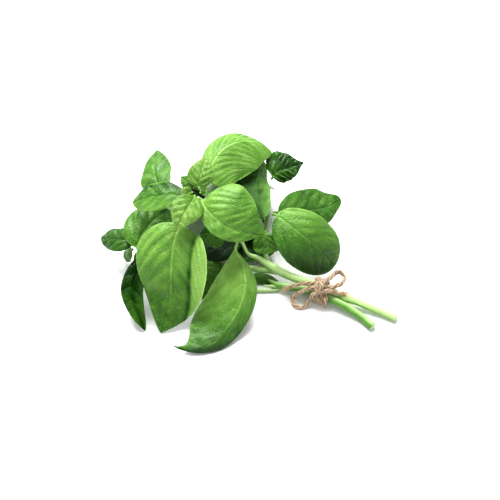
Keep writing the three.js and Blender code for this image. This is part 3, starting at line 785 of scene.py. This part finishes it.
# Each leaf's two tones and its lighter half are partly its own green and partly painted light and shade.
LEAVES: dict[str, Leaf] = {
    "leaf_bud_front": Leaf(
        [(-84, -15.5, 64), (-82.5, -23, 65.5), (-82.5, -33, 63.5), (-83, -41, 58)], 1, 20, Green.YOUNG,
        left=Half(8), right=Half(8), tone=(0.55, 0.85), pairs=5, puff=0.9, wave=0.4, teeth=0.03),
    "leaf_bud_back": Leaf(
        [(-84, -10, 64), (-86, -6, 68), (-87.5, 0, 71), (-90.5, 9, 73)], 1, 18, Green.YOUNG,
        (0.3, -0.6, 0.6), tone=(0.5, 0.8), pairs=5, puff=0.9, wave=0.4, teeth=0.03),
    "leaf_bud_side": Leaf(
        [(-88, -9.5, 63), (-93, -8, 64), (-100, -6, 64)], 1, 10, Green.YOUNG, tone=(0.5, 0.5), pairs=4, puff=0.5),
    "leaf_bud_folded": Leaf(
        [(-87, -13.5, 63), (-90, -15.5, 65), (-94, -16, 65.5)], 0.5, 6, Green.YOUNG, tone=(0.7, 0.9), pairs=3,
        puff=0.2, wave=0.1),
    "leaf_bud_centre": Leaf(
        [(-82, -12, 64), (-80, -11, 68), (-80, -10, 71)], 0.5, 5, Green.YOUNG, (-0.6, -0.5, 0.6),
        tone=(0.4, 0.6), pairs=3, puff=0.2, wave=0.1),
    "leaf_top_left": Leaf(
        [(-88, -14, 56), (-94, -16, 59), (-104, -20.5, 59), (-115, -24.5, 54), (-125, -27, 46)], 3, 21,
        Green.LIGHT, (0.1, -0.2, 0.9), widest=0.5, tone=(0.3, 0.45), painted_light_lean=0.25,
        right=Half(lip=25, crease=0.8), pairs=5),
    "leaf_top_right": Leaf(
        [(-80, -14.5, 60.5), (-74, -19.2, 61.5), (-66.3, -22.4, 60.5), (-59.5, -23.6, 58.5), (-52.5, -22, 55.5),
         (-45, -17.4, 51), (-37, -9.8, 46)], 2, 48, Green.LIGHT,
        widest=0.4, rise=0.48, narrow=0.35, left=Half(8, 38, size=1.22), right=Half(5, 25, size=0.36),
        tone=(0.7, 0.45), pairs=8, puff=0.7, wave=0.6, sweep=1.4),
    "leaf_top_back": Leaf(
        [(-85.5, -3, 54), (-88.5, 8, 57), (-90, 18, 60.5), (-89, 28, 63), (-84.5, 38, 63), (-78, 46, 60.5),
         (-71, 51, 55.5), (-65, 53, 50)],
        9, 52, Green.LIGHT, (0.4, -0.3, 0.8), widest=0.45, rise=0.55, narrow=0.2, left=Half(-35, 50, size=0.5),
        right=Half(2, 32, 40, 0.92, 0.85), tone=(0.7, 0.7), pairs=9, puff=0.5, sweep=2.4),
    "leaf_front_left": Leaf(
        [(-84, -17, 50), (-85, -27, 52), (-85, -37, 51), (-83, -47, 44), (-79, -57, 32), (-75, -66, 17),
         (-74, -81, 0.8)],
        15.5, 47, Green.LIGHT, (0.3, -0.55, 0.7), widest=0.35, rise=0.5, tone=(0.75, 0.3), pairs=7, puff=0.9,
        wave=0.9, sweep=1.5, left=Half(lip=64, size=1.22, crease=0.52)),
    "leaf_back_left": Leaf(
        [(-77, -8, 47), (-94, -8, 46), (-109, -8, 46), (-120, -4, 46), (-129, 7, 47), (-135.5, 20.5, 46)],
        34, 23.5, Green.LIGHT, tone=(0.35, 0.4), pairs=4, puff=0.3),
    "leaf_front": Leaf(
        [(-54, -13.5, 33), (-52.7, -18.9, 32), (-47.8, -22.8, 30.5), (-41.6, -28, 28), (-36.7, -34.5, 24.5),
         (-34, -43, 20), (-33.5, -52, 15), (-35, -62, 10.5), (-38.6, -73.6, 7), (-46.5, -83.3, 4.4),
         (-55, -86.8, 3.4), (-64, -87, 3)],
        5, 60, Green.LIGHT, (-0.16, -0.5, 0.7), widest=0.46, rise=1.1, narrow=0.6, left=Half(-50, 10, size=0.34),
        right=Half(5, 20, size=0.94), tone=(0.9, 0.1), painted_light_lean=-0.25, pairs=6, puff=0.8, wave=0.7, sweep=2.0),
    "leaf_folded_back": Leaf(
        [(-46.5, 8.5, 33), (-47.5, 8.5, 36.5), (-54, 15.5, 39.5), (-61.2, 25.5, 40.5), (-67, 36.5, 41),
         (-70.5, 50.5, 41)], 4, 38, Green.MID, (-0.5, 0.6, -0.3), widest=0.5, rise=0.55,
        left=Half(10, 0, size=0.55), right=Half(22, 10), tone=(0.2, 0.3), painted_light_lean=0.6),
    "leaf_rugose_right": Leaf(
        [(-58, 39.5, 38.5), (-57.5, 42.5, 40.5), (-55.2, 46.5, 42), (-49.7, 52, 43.5), (-43.9, 60.2, 43)], 2, 29,
        Green.DARK, (0.3, -0.4, 0.8), widest=0.32, rise=0.45, narrow=0.4, right=Half(size=0.62),
        tone=(0.35, 0.15), puff=1.7, pairs=7, wave=1.3, waves=3.5, teeth=0.07),
    "leaf_right_upper": Leaf(
        [(-44, 17, 36), (-39.5, 24.5, 30), (-34.2, 33.3, 26), (-27.7, 41.7, 22), (-20.9, 50.8, 19.5),
         (-16.2, 63.4, 17)], 4, 31, Green.MID,
        (0.3, -0.4, 0.8), widest=0.55, narrow=0.3, right=Half(size=0.75), tone=(0.4, 0.35), puff=0.6),
    "leaf_right_lower": Leaf(
        [(-43, 14, 38), (-40, 13.4, 39), (-29.5, 11.5, 37.5), (-18.8, 11, 32.5), (-8.5, 13.4, 22.5),
         (2.5, 16.5, 7.5)], 3, 40,
        Green.MID, (0.4, -0.4, 0.8), widest=0.52, rise=0.48, left=Half(size=0.93), tone=(0.65, 0.25), painted_light_lean=0.3,
        puff=0.35, sweep=1.5),
    "leaf_small_middle": Leaf(
        [(-43, 4, 31), (-42.5, 2, 31), (-39.5, -0.5, 27), (-35.7, -4, 21)], 1, 21, Green.MID, (0.3, -0.6, 0.6),
        widest=0.6, tone=(0.55, 0.7), pairs=4, puff=0.7, teeth=0.05),
    "leaf_left_curled": Leaf(
        [(-106, -38, 17), (-106, -48, 18), (-105, -60, 16), (-101, -71, 12), (-94, -78, 8), (-83.5, -84.5, 1)],
        6, 34, Green.DARK, (0.1, -0.3, 0.9), rise=0.5, left=Half(50, 15, size=0.74),
        right=Half(52, 25, size=0.54), tone=(0.0, 0.35), puff=0.4),
    "leaf_far_left": Leaf(
        [(-117, -40, 23), (-123, -42.5, 25), (-131, -43.5, 22.5), (-143.3, -42.4, 15)], 1, 17, Green.DARK,
        (0, -0.4, 0.9), widest=0.42, rise=0.5, tone=(0.4, 0.3), pairs=4, puff=0.7),
    "leaf_far_left_low": Leaf(
        [(-119, -41, 16), (-122.5, -42, 11), (-127, -42, 3)], 1, 12, Green.MID, (0, -0.4, 0.9), pairs=4),
    "leaf_left_inner": Leaf(
        [(-112, -45, 24), (-113.5, -42, 27), (-113.5, -34, 30), (-112.3, -22, 31), (-111, -8, 28)], 1, 30,
        Green.MID, (0.3, -0.4, 0.8), rise=0.5, tone=(0.6, 0.35), pairs=5, puff=0.8),
    "leaf_left_low": Leaf(
        [(-111, -38, 19), (-110, -42, 12), (-109.5, -45, 1)], 1, 14, Green.DARK, (0.3, -0.4, 0.8), pairs=4),
    "leaf_middle_dark": Leaf(
        [(-59.5, -14.5, 37), (-64, -15.5, 36.5), (-71, -16, 34.5), (-80, -18, 31)], 2, 20, Green.DARK,
        (0.3, -0.4, 0.8), pairs=4),
    "leaf_between": Leaf(
        [(-56, -22, 10), (-60, -27, 12), (-64, -35, 8), (-66, -45, 0.8)], 2, 24, Green.DARK, (0.2, -0.4, 0.8)),
    "leaf_under_stems": Leaf(
        [(-47, -19, 4), (-42, -17, 2.4), (-36.5, -14.2, 1.2), (-31.5, -11.5, 0.9), (-25, -8.6, 0.9)], 2, 15,
        Green.DARK, (0, 0, 1), left=Half(cup=0), right=Half(cup=0, size=0.3), pairs=4, wave=0.2),
    # painted shade: a near-black leaf put into the dark inside of the bunch
    "leaf_inner_low": Leaf(
        [(-51, -8, 23), (-60, -8, 20), (-72, -10, 17), (-88, -13, 15)], 4, 30, Green.PAINTED_SHADE, (0, 0, 1),
        tone=(0.3, 0.2)),
    # a dark leaf put into a shaded gap under the top leaves; its dark green is partly painted shade
    "leaf_inner_right": Leaf(
        [(-43.8, -5, 6.5), (-47.1, -1.5, 8.5), (-51.5, 4.5, 10), (-57.5, 11, 10)], 1, 27, Green.DARK,
        (0, 0, 1), tone=(0.3, 0.1)),
    # painted shade: a near-black leaf put into the dark inside of the bunch
    "leaf_inner_top": Leaf(
        [(-82.5, -6, 54), (-87, -8, 53.5), (-92, -13, 50), (-95, -20, 42)], 1, 22, Green.PAINTED_SHADE, (0.1, -0.4, 0.9),
        tone=(0.5, 0.4)),
    "leaf_back_low": Leaf(
        [(-56, -8, 33), (-62, 6, 33), (-72, 24, 26), (-82, 40, 13), (-88, 52, 0.8)], 12, 38, Green.MID,
        (-0.3, 0.5, 0.8)),
    "leaf_back_middle": Leaf(
        [(-72, -6, 49), (-85, 7, 45), (-98, 19, 34), (-107, 29, 18), (-114, 37, 0.8)], 14, 37, Green.MID,
        (-0.5, 0.5, 0.8)),
    "leaf_back_far": Leaf(
        [(-98, -25, 16), (-104, -10, 20), (-110, 2, 17), (-116, 14, 9), (-120, 22, 0.8)], 10, 28, Green.DARK,
        (-0.3, 0.5, 0.8)),
    "leaf_back_right": Leaf(
        [(-59, 31, 33), (-65, 38, 31), (-72, 46, 23), (-77, 53, 12), (-79, 58, 0.8)], 6, 28, Green.MID,
        (0, 0.6, 0.7)),
}


# ---------------------------------------------------------------- stems


@dataclass(frozen=True)
class Stem:
    """One stem: a squarish rod with four soft ridges, swollen where leaves part from it."""

    path: Points
    radii: tuple[float, ...]
    nodes: tuple[float, ...] = ()  # distances along it of its swollen nodes, mm
    scars: tuple[tuple[float, float, float], ...] = ()  # distance along, turn round and half length
    cut: bool = False  # whether it starts at a cut end
    # how light the skin is at its start and at its end, partly painted shade for stems that lie in shade
    tone: tuple[float, float] = (0.8, 0.6)

    PITCH = 0.6  # between two rings, mm
    SIDES = 36
    SWELL, SWELL_HALF = 0.16, 2.6  # of a node: part of the radius, and half its length in mm
    SUNK = 0.25  # depth of a cut end's middle, mm
    SCAR_DEPTH, SCAR_TURN = 0.45, 0.45  # depth of a scar, mm, and half the turn that it takes, radians
    CAP = np.array([0.0, 0.35, 0.7, 0.92])  # rings of a cut end, as parts of its radius

    def build(self, name: str, material: bpy.types.Material) -> bpy.types.Object:
        """Makes the stem's mesh.

        The radius runs straight between the path's points, and is multiplied by
        1 + 0.06 cos(4 turn) for the ridges and by a bell curve at each node. A cut end is
        closed by rings that shrink to a point and sink a little, as sappy pith does.

        Args:
            name: The piece's name.
            material: What it is made of.

        Returns:
            The new object.
        """
        path = SmoothPath(self.path)
        distance = np.linspace(0, path.length, int(path.length / self.PITCH))
        origin, along = path.at(distance), path.along(distance)
        side = unit(np.cross(along, np.array([0.1, 0.2, 1.0])))
        up = unit(np.cross(side, along))
        turn = -TAU * (np.arange(self.SIDES) + 0.5)[None, :] / self.SIDES
        far = distance[:, None]
        radius = np.interp(far, path.knot_distances, self.radii)
        for node in self.nodes:
            bell = np.exp(-(((far - node) / self.SWELL_HALF) ** 2))
            radius = radius * (1 + self.SWELL * bell)
        ridges = 1 + 0.06 * np.cos(4 * turn + 0.004 * far) + 0.012 * np.cos(11 * turn + 1)
        uneven = 1 + 0.02 * np.sin(far * 0.37 + 2 * turn) + 0.015 * np.sin(far * 0.9)
        radius = radius * ridges * uneven
        scar = np.zeros(radius.shape)
        for where, around, half in self.scars:
            apart = np.angle(np.exp(1j * (turn - around)))
            bell = np.exp(-(((far - where) / half) ** 2) - (apart / self.SCAR_TURN) ** 2)
            scar = np.maximum(scar, bell)
        radius = radius - self.SCAR_DEPTH * scar
        cut = np.zeros(radius.shape)
        if self.cut:
            cap = self.CAP[:, None] * radius[:1]
            origin = np.vstack([origin[:1] + along[:1] * self.SUNK * (1 - self.CAP[:, None]), origin])
            side, up = (np.vstack([np.repeat(a[:1], self.CAP.size, 0), a]) for a in (side, up))
            distance = np.concatenate([np.zeros(self.CAP.size), distance])
            radius = np.vstack([cap + 1e-3, radius])
            cut = np.vstack([np.ones(cap.shape), cut])
            scar = np.vstack([np.zeros(cap.shape), scar])
        points = origin[:, None] + radius[..., None] * (
            np.cos(turn)[..., None] * side[:, None] + np.sin(turn)[..., None] * up[:, None])
        points[..., 2] = np.maximum(points[..., 2], CLEAR)
        part = distance[:, None] / path.length
        # painted shade: the lower, front side of the stem is made darker, away from the lamp
        painted_shade_below = np.clip(0.1 - 0.6 * np.cos(turn) - 0.5 * np.sin(turn), -0.3, 1)
        tone = self.tone[0] + (self.tone[1] - self.tone[0]) * part - 0.75 * painted_shade_below
        maps = {"along": np.stack(np.broadcast_arrays(distance[:, None] / 10, turn * radius / 10), -1)}
        values = {"tone": tone, "cut": cut, "scar": smooth(scar, 0.35, 0.8)}
        return grid_piece(name, points, material, maps, values)


STEMS: dict[str, Stem] = {
    "stem_main": Stem(
        [(55, 1, 2.9), (43, 0.5, 3.3), (31, -0.5, 4.6), (18, -2.3, 6.15), (6, -2.5, 6.15), (-7, -3.5, 6.8),
         (-20, -6, 8.8), (-31, -6.8, 11.2), (-37, -7, 13), (-42.4, -8.3, 16.8), (-47.4, -12.4, 23),
         (-52.6, -11.8, 32), (-62.3, -10.8, 45), (-74.6, -11.5, 54.5), (-84, -13, 60)],
        (2.5, 2.5, 2.6, 2.65, 2.65, 2.65, 2.8, 3, 2.6, 1.7, 1.2, 1.1, 1.1, 1.1, 1),
        nodes=(34, 87), scars=((33, -1.0, 2.6), (89, -1.6, 1.6)), cut=True, tone=(1.0, 0.8)),
    "stem_second": Stem(
        [(44.5, -12.5, 2.9), (35, -9.5, 3.4), (25, -8.2, 5), (15, -8.1, 6.15), (3, -8.1, 6.15), (-9, -9.6, 5.9),
         (-17.5, -12, 5.3), (-25.2, -13, 4.2), (-32.5, -12, 3.4)],
        (2.7, 2.6, 2.65, 2.65, 2.65, 2.6, 2.4, 1.9, 0.9), nodes=(68,), cut=True, tone=(0.3, 0.4)),
    "stem_left_shoot": Stem(
        [(-22, -6.3, 9.4), (-29.1, -7.6, 9.8), (-34, -8.8, 9.5), (-39.5, -11, 9.4), (-45.5, -13.2, 9.4),
         (-52.5, -16, 9.5), (-62, -19.2, 10), (-75, -21.5, 10.3), (-91, -25, 12), (-105, -31, 16),
         (-113, -37, 20)],
        (1.6, 2.4, 2.4, 2.2, 1.9, 1.7, 1.6, 1.5, 1.4, 1.2, 1), tone=(0.75, 0.4)),
    "stem_right_shoot": Stem(
        [(-34, -7, 12), (-40, -2, 16), (-43, 3, 21), (-46, 11, 26), (-49, 18, 31), (-51, 22, 34)],
        (1.7, 1.6, 1.6, 1.5, 1.4, 1), tone=(0.5, 0.4)),
    "twig_fork": Stem(
        [(-21, -12.8, 4.6), (-26, -14.8, 3.8), (-30, -16.4, 3.3), (-33, -17.6, 3)], (0.9, 1.0, 0.9, 0.7),
        tone=(0.9, 0.9)),
    "twig_ground": Stem(
        [(-17, -12.3, 4.2), (-22, -14.2, 2.6), (-25.6, -16.4, 1.4), (-31.4, -19.7, 1.4), (-40, -24, 1.4)],
        (0.9, 1.1, 1.1, 1.2, 1), tone=(0.9, 0.9)),
}


# ---------------------------------------------------------------- twine


@dataclass(frozen=True)
class Twine:
    """One length of three-strand jute: a tail, a loop, four turns, a loop and the other tail."""

    diameter: float = 2.8
    strands: int = 3
    lay: float = 15.0  # length of one full turn of the strands, mm
    turns: int = 4
    pitch: float = 2.4  # between two turns round the stems, mm
    rod: float = 2.65  # radius of the two stems, mm
    gap: float = 0.35  # between a stem and the twine, mm
    tie: tuple[float, float, float] = (3.6, -5.3, 6.15)  # middle of the wraps
    apart: float = 2.8  # of each stem from that middle, mm
    slant: float = 0.5  # how far the wraps lean along the stems for each mm across
    left_tail: Points = field(default_factory=lambda: [
        (-16.8, -15.8, 8.6), (-13.5, -13.2, 10.6), (-8.6, -10, 12.2), (-3.2, -7.8, 13.4), (0.6, -6.9, 15.2),
        (3.4, -7.4, 17.0), (5.2, -9.6, 16.6), (4.6, -11.8, 14.4), (2.6, -12.9, 12.2)])
    front_loop: Points = field(default_factory=lambda: [
        (1, -13.2, 10), (0, -14.8, 5.6), (-1.4, -17, 2.6), (-3.8, -20.2, 1.5), (-7.9, -20.8, 1.7),
        (-11, -18.1, 3.5), (-9.4, -15.1, 6.5), (-5.8, -13.1, 10), (-2.8, -11.2, 12.5), (0.2, -9.2, 13.4),
        (1.8, -6.9, 13.2), (1.9, -6.0, 11.6)])
    back_loop: Points = field(default_factory=lambda: [
        (7.6, -8.2, 12.4), (5.4, -10.4, 14.0), (2.6, -10.4, 15.6), (1.6, -7.6, 16.2), (4, -3.2, 14.2),
        (5.3, 0.5, 13), (5.8, 7, 11), (7.4, 12.6, 9), (11.6, 11.8, 8), (13.4, 6.2, 9), (11.6, 0.2, 11),
        (8.2, -4.8, 13)])
    right_tail: Points = field(default_factory=lambda: [
        (4.8, -6.8, 14.9), (1.4, -8.8, 14.6), (2.6, -11.2, 14.0), (5.6, -10.4, 13.8), (8.4, -8.6, 13.8),
        (11.8, -6.2, 12.2), (15, -4.2, 10.4), (18.6, -2.2, 9.6)])

    SIDES = 30
    STEP = 0.4  # between two rings, mm
    EACH = 12  # points of the route in each turn round the stems
    HAIRS, BRUSH = 2600, 60  # loose fibres along the twine, and at each end
    BEADS = 6  # points of a loose fibre
    SEED = 7

    def wraps(self) -> Points:
        """The turns round the stems.

        The route follows a straight-sided oval round both stems, from its top towards the second
        stem, while it moves along them by one pitch a turn and leans along them by the slant.
        """
        radius = self.rod + self.gap + self.diameter / 2
        straight, arc = 2 * self.apart, math.pi * radius
        around = 2 * (straight + arc)
        travel = np.arange(self.turns * self.EACH + 1) / self.EACH * around
        place = np.mod(travel + 1e-9, around)
        edges = np.cumsum([self.apart, arc, straight, arc])
        stretches = [place <= edge for edge in edges]
        angle = (place - edges[0]) / radius
        back = (place - edges[2]) / radius
        y = np.select(stretches, [-place, -self.apart - radius * np.sin(angle), place - edges[1] - self.apart,
                                  self.apart + radius * np.sin(back)], around - place)
        z = np.select(stretches, [radius, radius * np.cos(angle), -radius, -radius * np.cos(back)], radius)
        x = self.tie[0] + self.pitch * (travel / around - self.turns / 2) - self.slant * y
        return [tuple(p) for p in np.stack([x, y + self.tie[1], z + self.tie[2]], -1)]

    def route(self) -> Points:
        """All the twine's points, from the end of the left tail to the end of the right one."""
        return [*self.left_tail, *self.front_loop, *self.wraps()[1:-1], *self.back_loop, *self.right_tail]

    def frames(self, path: SmoothPath, distance: np.ndarray) -> tuple[np.ndarray, np.ndarray, np.ndarray]:
        """Directions along, across and square to both, carried along the path without twisting.

        The across direction of each step is the last one made square to the new tangent, which
        only a loop can do, so it runs once over the steps and not over the points of a ring.
        """
        along = path.along(distance)
        across = np.empty_like(along)
        now = unit(np.cross(along[0], np.array([0.1, 0.2, 1.0])))
        for step, forward in enumerate(along):
            now = unit(now - forward * (now @ forward))
            across[step] = now
        return along, across, np.cross(across, along)

    def build(self) -> bpy.types.Object:
        """The section is the outer edge of three touching strands: at the angle a from the middle
        of a strand it is h cos a + sqrt(s^2 - h^2 sin^2 a), with h the distance of the strand's
        middle and s its radius. The section turns once in each lay.

        Returns:
            The twine.
        """
        path = SmoothPath(self.route())
        distance = np.linspace(0, path.length, int(path.length / self.STEP))
        middle = path.at(distance)
        along, across, up = self.frames(path, distance)
        turn = -TAU * np.arange(self.SIDES)[None, :] / self.SIDES
        sector = TAU / self.strands
        strand = offset = self.diameter / 4
        away = np.mod(turn + sector / 2, sector) - sector / 2
        random = np.random.default_rng(self.SEED)
        uneven = 1 + 0.05 * np.sin(distance * 0.83) + 0.05 * np.sin(distance * 0.31 + 2)
        edge = offset * np.cos(away) + np.sqrt(np.clip(strand**2 - (offset * np.sin(away)) ** 2, 0, None))
        edge = edge * uneven[:, None]
        twist = turn + TAU * distance[:, None] / self.lay
        points = middle[:, None] + edge[..., None] * (
            np.cos(twist)[..., None] * across[:, None] + np.sin(twist)[..., None] * up[:, None])
        points[..., 2] = np.maximum(points[..., 2], 0.1)
        # where the painted shade between the strands lies
        groove = np.broadcast_to(smooth(np.abs(away) / (sector / 2), 0.55, 1.0), points.shape[:2])
        lay = np.stack(np.broadcast_arrays(away / sector + np.floor((turn + sector / 2) / sector),
                                           distance[:, None] / 10), -1)
        twine = grid_piece("jute_twine", points, JuteFinish("jute_strands").material(), {"lay": lay},
                           {"groove": groove})
        fibres = self.fibres(random, middle, along, across, up)
        for piece in (twine, fibres):
            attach(piece, "root")
        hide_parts("twine_wraps", "twine_knot", "twine_loop_back", "twine_loop_front",
                    "twine_tail_left", "twine_tail_right")
        LOG.info("twine: %.0f mm long", path.length)
        return twine

    def fibres(
        self,
        random: np.random.Generator,
        middle: np.ndarray,
        along: np.ndarray,
        across: np.ndarray,
        up: np.ndarray,
    ) -> bpy.types.Object:
        """Loose fibres: short hairs all along the twine and a frayed brush at each end.

        A hair starts on the surface at a random place and turn, and its points follow
        start + out t + forward t^1.4 + droop t^2 for t from 0 to 1.
        """
        last = len(middle) - 1
        where = np.concatenate([random.integers(4, last - 3, self.HAIRS), np.full(self.BRUSH, 0),
                                np.full(self.BRUSH, last)])
        ends = np.concatenate([np.zeros(self.HAIRS), -np.ones(self.BRUSH), np.ones(self.BRUSH)])[:, None]
        at_end, total = ends != 0, where.size
        turn = random.uniform(0, TAU, total)[:, None]
        out = np.cos(turn) * across[where] + np.sin(turn) * up[where]
        length = random.uniform(1.0, 3.4, total)[:, None] * np.where(at_end, 1.2, 1.0)
        forward = np.where(at_end, ends, random.choice([-1.0, 1.0], total)[:, None])
        lift = np.where(at_end, 0.45, random.uniform(0.25, 0.8, total)[:, None])
        t = np.linspace(0, 1, self.BEADS)[None, :, None]
        start = middle[where] + out * np.where(at_end, random.uniform(0.1, 0.8, total)[:, None],
                                               0.4 * self.diameter)
        droop = random.normal(0, 0.35, (total, 3)) + np.array([0, 0, -0.25])
        threads = start[:, None] + length[:, None] * (
            (out * lift)[:, None] * t + (along[where] * forward)[:, None] * t**1.4 + droop[:, None] * t**2)
        threads[..., 2] = np.maximum(threads[..., 2], 0.15)
        radius = np.where(at_end, 0.13, 0.055) * (1 - 0.75 * t[0, :, 0][None, :])
        return threads_piece("jute_loose_fibres", threads, radius, FibreFinish().material())


# ---------------------------------------------------------------- the bunch and its stage


class Bunch:
    """The leaves and stems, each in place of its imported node."""

    def build(self) -> None:
        """Makes every leaf and stem."""
        greens = {green: green.value.material() for green in Green}
        for number, (node, leaf) in enumerate(LEAVES.items()):
            piece = leaf.build(f"{node}_blade", number, greens[leaf.green])
            self.settle(piece, node)
        skin = StemFinish().material()
        for node, stem in STEMS.items():
            self.settle(stem.build(f"{node}_rod", skin), node)

    def settle(self, piece: bpy.types.Object, node: str) -> None:
        """Puts a piece in its node's place."""
        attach(piece, "root")
        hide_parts(node)
        low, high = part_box(node)
        LOG.info("%s: %d faces, node %s", piece.name, len(piece.data.polygons),
                 [round(float(b - a) / MM, 1) for a, b in zip(low, high)])


@dataclass(frozen=True)
class Studio:
    """The camera, the pale floor and soft light from above."""

    azimuth: float = 28.6
    elevation: float = 52.0
    distance: float = 0.803
    lens: float = 85.0
    target: tuple[float, float, float] = (-0.0123, 0.0187, 0.0)
    lit: tuple[float, float, float] = (-0.03, 0.0, 0.02)  # where the lamps point
    sky: float = 0.5

    def camera(self) -> None:
        """Aims the camera down at the bunch."""
        turn, tilt = math.radians(self.azimuth), math.radians(self.elevation)
        back = Vector((math.sin(turn) * math.cos(tilt), -math.cos(turn) * math.cos(tilt), math.sin(tilt)))
        data = bpy.data.cameras.new("camera")
        data.lens = self.lens
        data.clip_start = 0.01
        camera = bpy.data.objects.new("camera", data)
        camera.location = Vector(self.target) + back * self.distance
        camera.rotation_euler = back.to_track_quat("Z", "Y").to_euler()
        bpy.context.scene.collection.objects.link(camera)
        bpy.context.scene.camera = camera

    def floor(self) -> None:
        """A wide flat floor that isn't part of the bunch."""
        reach = 6.0
        corners = [(-reach, -reach, 0), (reach, -reach, 0), (reach, reach, 0), (-reach, reach, 0)]
        piece_of("floor", corners, [(0, 1, 2, 3)], FloorFinish().material())

    def lamp(self, name: str, place: tuple[float, float, float], size: float, power: float) -> None:
        """A square lamp that faces the bunch."""
        data = bpy.data.lights.new(name, "AREA")
        data.energy = power
        data.size = size
        lamp = bpy.data.objects.new(name, data)
        lamp.location = Vector(place)
        lamp.rotation_euler = (Vector(place) - Vector(self.lit)).to_track_quat("Z", "Y").to_euler()
        bpy.context.scene.collection.objects.link(lamp)

    def lights(self) -> None:
        """A white sky with one broad key lamp high at the back and a weak one at the front."""
        world = bpy.data.worlds.new("white_sky")
        world.use_nodes = True
        background = world.node_tree.nodes["Background"]
        background.inputs["Color"].default_value = (1.0, 1.0, 1.0, 1.0)
        background.inputs["Strength"].default_value = self.sky
        bpy.context.scene.world = world
        view = bpy.context.scene.view_settings
        view.view_transform = "Standard"
        view.look = "Medium High Contrast"
        self.lamp("key", (-0.35, 0.35, 0.9), 0.7, 24.0)
        self.lamp("fill", (0.7, -0.6, 0.9), 0.9, 2.0)


def main() -> None:
    """Builds the stage, the twine and the bunch, and writes how large it is."""
    logging.basicConfig(level=logging.INFO, format="%(name)s: %(message)s")
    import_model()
    studio = Studio()
    studio.camera()
    Twine().build()
    Bunch().build()
    studio.floor()
    studio.lights()


if __name__ == "__main__":
    main()
